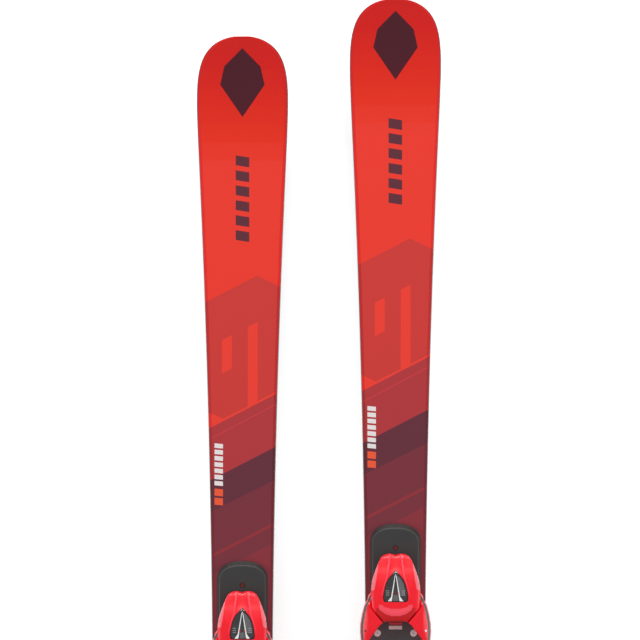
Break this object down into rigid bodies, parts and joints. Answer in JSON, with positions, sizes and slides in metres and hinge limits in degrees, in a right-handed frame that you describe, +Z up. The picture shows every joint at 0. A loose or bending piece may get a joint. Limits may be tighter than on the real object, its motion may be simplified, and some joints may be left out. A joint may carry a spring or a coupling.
{
  "type": "alpine skis with bindings",
  "caption": "Pair of alpine skis with step-in bindings: swinging toe wings, opening heel with lever, length adjustment and sprung ski brakes.",
  "frame": {"origin": "bottom centre of the bounding box: level with the lowered brake feet, midway between the skis and between the foremost tip and the rearmost tail", "axes": "+X to the right ski, +Y towards the tips, +Z up from the running bases to the bindings"},
  "size_m": [0.2972, 1.7454, 0.1757],
  "materials": {
    "base_plastic": "satin",
    "edge_steel": "ground",
    "laminate_metal": "satin",
    "core_wood": "bare",
    "sidewall_plastic": "matte",
    "top_sheet_red": "glossy printed",
    "plate_grey": "satin",
    "steel": "zinc plated",
    "spring_steel": "oiled",
    "black_plastic": "matte",
    "housing_red": "glossy",
    "window_smoke": "clear smoke",
    "mark_white": "glossy",
    "rest_grey": "smooth"
  },
  "bodies": {
    "left_ski": {"left_running_base": "base_plastic", "left_steel_edges": "edge_steel", "left_laminates": "laminate_metal", "left_wood_core": "core_wood", "left_sidewalls": "sidewall_plastic", "left_top_sheet": "top_sheet_red", "left_binding_plates": "plate_grey", "left_binding_screws": "steel", "left_toe_chassis": "black_plastic", "left_toe_housing": "housing_red", "left_toe_window": "window_smoke", "left_toe_wing_pins": "steel", "left_toe_spring": "spring_steel", "left_heel_track": "steel"},
    "left_wing_left": {"left_toe_wing_left": "housing_red"},
    "left_wing_right": {"left_toe_wing_right": "housing_red"},
    "left_toe_screw": {"left_toe_release_screw": "steel"},
    "left_toe_mark": {"left_toe_indicator": "mark_white"},
    "left_foot_rest": {"left_afd_slider": "rest_grey"},
    "left_carriage": {"left_heel_carriage": "black_plastic", "left_heel_axle": "steel"},
    "left_adjuster": {"left_heel_adjust_screw": "steel"},
    "left_heel": {"left_heel_housing": "housing_red", "left_heel_spring": "spring_steel"},
    "left_lever": {"left_heel_lever": "black_plastic"},
    "left_heel_screw": {"left_heel_release_screw": "steel"},
    "left_heel_mark": {"left_heel_indicator": "mark_white"},
    "left_brake": {"left_brake_arms": "steel", "left_brake_feet": "black_plastic", "left_brake_pedal": "black_plastic"},
    "right_ski": {"right_running_base": "base_plastic", "right_steel_edges": "edge_steel", "right_laminates": "laminate_metal", "right_wood_core": "core_wood", "right_sidewalls": "sidewall_plastic", "right_top_sheet": "top_sheet_red", "right_binding_plates": "plate_grey", "right_binding_screws": "steel", "right_toe_chassis": "black_plastic", "right_toe_housing": "housing_red", "right_toe_window": "window_smoke", "right_toe_wing_pins": "steel", "right_toe_spring": "spring_steel", "right_heel_track": "steel"},
    "right_wing_left": {"right_toe_wing_left": "housing_red"},
    "right_wing_right": {"right_toe_wing_right": "housing_red"},
    "right_toe_screw": {"right_toe_release_screw": "steel"},
    "right_toe_mark": {"right_toe_indicator": "mark_white"},
    "right_foot_rest": {"right_afd_slider": "rest_grey"},
    "right_carriage": {"right_heel_carriage": "black_plastic", "right_heel_axle": "steel"},
    "right_adjuster": {"right_heel_adjust_screw": "steel"},
    "right_heel": {"right_heel_housing": "housing_red", "right_heel_spring": "spring_steel"},
    "right_lever": {"right_heel_lever": "black_plastic"},
    "right_heel_screw": {"right_heel_release_screw": "steel"},
    "right_heel_mark": {"right_heel_indicator": "mark_white"},
    "right_brake": {"right_brake_arms": "steel", "right_brake_feet": "black_plastic", "right_brake_pedal": "black_plastic"}
  },
  "joints": [
    {"name": "left_wing_left_swing", "type": "hinge", "parent": "left_ski", "child": "left_wing_left", "pos_m": [-0.12005, 0.1003, 0.08721], "axis": [0, 0, -1], "range_deg": [0, 40], "stiffness_Nm_per_rad": 5, "springref_deg": -34.38},
    {"name": "left_wing_right_swing", "type": "hinge", "parent": "left_ski", "child": "left_wing_right", "pos_m": [-0.06605, 0.1003, 0.08721], "axis": [0, 0, 1], "range_deg": [0, 40], "stiffness_Nm_per_rad": 5, "springref_deg": -34.38},
    {"name": "left_toe_screw_turn", "type": "hinge", "parent": "left_ski", "child": "left_toe_screw", "pos_m": [-0.09305, 0.1473, 0.08371], "axis": [0, 1, 0], "range_deg": [-720, 720]},
    {"name": "left_toe_mark_slide", "type": "slide", "parent": "left_ski", "child": "left_toe_mark", "axis": [0, 1, 0], "range_m": [-0.0045, 0.0045]},
    {"name": "left_foot_rest_slide", "type": "slide", "parent": "left_ski", "child": "left_foot_rest", "axis": [1, 0, 0], "range_m": [-0.007, 0.007], "stiffness_N_per_m": 800},
    {"name": "left_heel_carriage_slide", "type": "slide", "parent": "left_ski", "child": "left_carriage", "axis": [0, 1, 0], "range_m": [-0.015, 0.015]},
    {"name": "left_adjuster_turn", "type": "hinge", "parent": "left_carriage", "child": "left_adjuster", "pos_m": [-0.09305, -0.3227, 0.07921], "axis": [0, 1, 0], "range_deg": [-1085, 1085]},
    {"name": "left_heel_open", "type": "hinge", "parent": "left_carriage", "child": "left_heel", "pos_m": [-0.09305, -0.3177, 0.09621], "axis": [1, 0, 0], "range_deg": [0, 38]},
    {"name": "left_lever_press", "type": "hinge", "parent": "left_heel", "child": "left_lever", "pos_m": [-0.09305, -0.3127, 0.14121], "axis": [1, 0, 0], "range_deg": [0, 20]},
    {"name": "left_heel_screw_turn", "type": "hinge", "parent": "left_heel", "child": "left_heel_screw", "pos_m": [-0.09305, -0.3507, 0.11721], "axis": [0, 1, 0], "range_deg": [-720, 720]},
    {"name": "left_heel_mark_slide", "type": "slide", "parent": "left_heel", "child": "left_heel_mark", "axis": [0, 1, 0], "range_m": [-0.0045, 0.0045]},
    {"name": "left_brake_lift", "type": "hinge", "parent": "left_carriage", "child": "left_brake", "pos_m": [-0.09305, -0.2327, 0.08021], "axis": [-1, 0, 0], "range_deg": [0, 65], "stiffness_Nm_per_rad": 3, "springref_deg": -57.3},
    {"name": "right_ski_slide", "type": "slide", "parent": "left_ski", "child": "right_ski", "axis": [0, 1, 0], "range_m": [-0.25, 0.25]},
    {"name": "right_wing_left_swing", "type": "hinge", "parent": "right_ski", "child": "right_wing_left", "pos_m": [0.06605, 0.1457, 0.08721], "axis": [0, 0, -1], "range_deg": [0, 40], "stiffness_Nm_per_rad": 5, "springref_deg": -34.38},
    {"name": "right_wing_right_swing", "type": "hinge", "parent": "right_ski", "child": "right_wing_right", "pos_m": [0.12005, 0.1457, 0.08721], "axis": [0, 0, 1], "range_deg": [0, 40], "stiffness_Nm_per_rad": 5, "springref_deg": -34.38},
    {"name": "right_toe_screw_turn", "type": "hinge", "parent": "right_ski", "child": "right_toe_screw", "pos_m": [0.09305, 0.1927, 0.08371], "axis": [0, 1, 0], "range_deg": [-720, 720]},
    {"name": "right_toe_mark_slide", "type": "slide", "parent": "right_ski", "child": "right_toe_mark", "axis": [0, 1, 0], "range_m": [-0.0045, 0.0045]},
    {"name": "right_foot_rest_slide", "type": "slide", "parent": "right_ski", "child": "right_foot_rest", "axis": [1, 0, 0], "range_m": [-0.007, 0.007], "stiffness_N_per_m": 800},
    {"name": "right_heel_carriage_slide", "type": "slide", "parent": "right_ski", "child": "right_carriage", "axis": [0, 1, 0], "range_m": [-0.015, 0.015]},
    {"name": "right_adjuster_turn", "type": "hinge", "parent": "right_carriage", "child": "right_adjuster", "pos_m": [0.09305, -0.2773, 0.07921], "axis": [0, 1, 0], "range_deg": [-1085, 1085]},
    {"name": "right_heel_open", "type": "hinge", "parent": "right_carriage", "child": "right_heel", "pos_m": [0.09305, -0.2723, 0.09621], "axis": [1, 0, 0], "range_deg": [0, 38]},
    {"name": "right_lever_press", "type": "hinge", "parent": "right_heel", "child": "right_lever", "pos_m": [0.09305, -0.2673, 0.14121], "axis": [1, 0, 0], "range_deg": [0, 20]},
    {"name": "right_heel_screw_turn", "type": "hinge", "parent": "right_heel", "child": "right_heel_screw", "pos_m": [0.09305, -0.3053, 0.11721], "axis": [0, 1, 0], "range_deg": [-720, 720]},
    {"name": "right_heel_mark_slide", "type": "slide", "parent": "right_heel", "child": "right_heel_mark", "axis": [0, 1, 0], "range_m": [-0.0045, 0.0045]},
    {"name": "right_brake_lift", "type": "hinge", "parent": "right_carriage", "child": "right_brake", "pos_m": [0.09305, -0.1873, 0.08021], "axis": [-1, 0, 0], "range_deg": [0, 65], "stiffness_Nm_per_rad": 3, "springref_deg": -57.3}
  ],
  "couplings": [
    {"joint": "left_toe_mark_slide", "follows": "left_toe_screw_turn", "m_per_rad": 0.00031831},
    {"joint": "left_adjuster_turn", "follows": "left_heel_carriage_slide", "rad_per_m": 1256.6},
    {"joint": "left_lever_press", "follows": "left_heel_open", "ratio": 0.5},
    {"joint": "left_heel_mark_slide", "follows": "left_heel_screw_turn", "m_per_rad": 0.00031831},
    {"joint": "right_toe_mark_slide", "follows": "right_toe_screw_turn", "m_per_rad": 0.00031831},
    {"joint": "right_adjuster_turn", "follows": "right_heel_carriage_slide", "rad_per_m": 1256.6},
    {"joint": "right_lever_press", "follows": "right_heel_open", "ratio": 0.5},
    {"joint": "right_heel_mark_slide", "follows": "right_heel_screw_turn", "m_per_rad": 0.00031831}
  ]
}
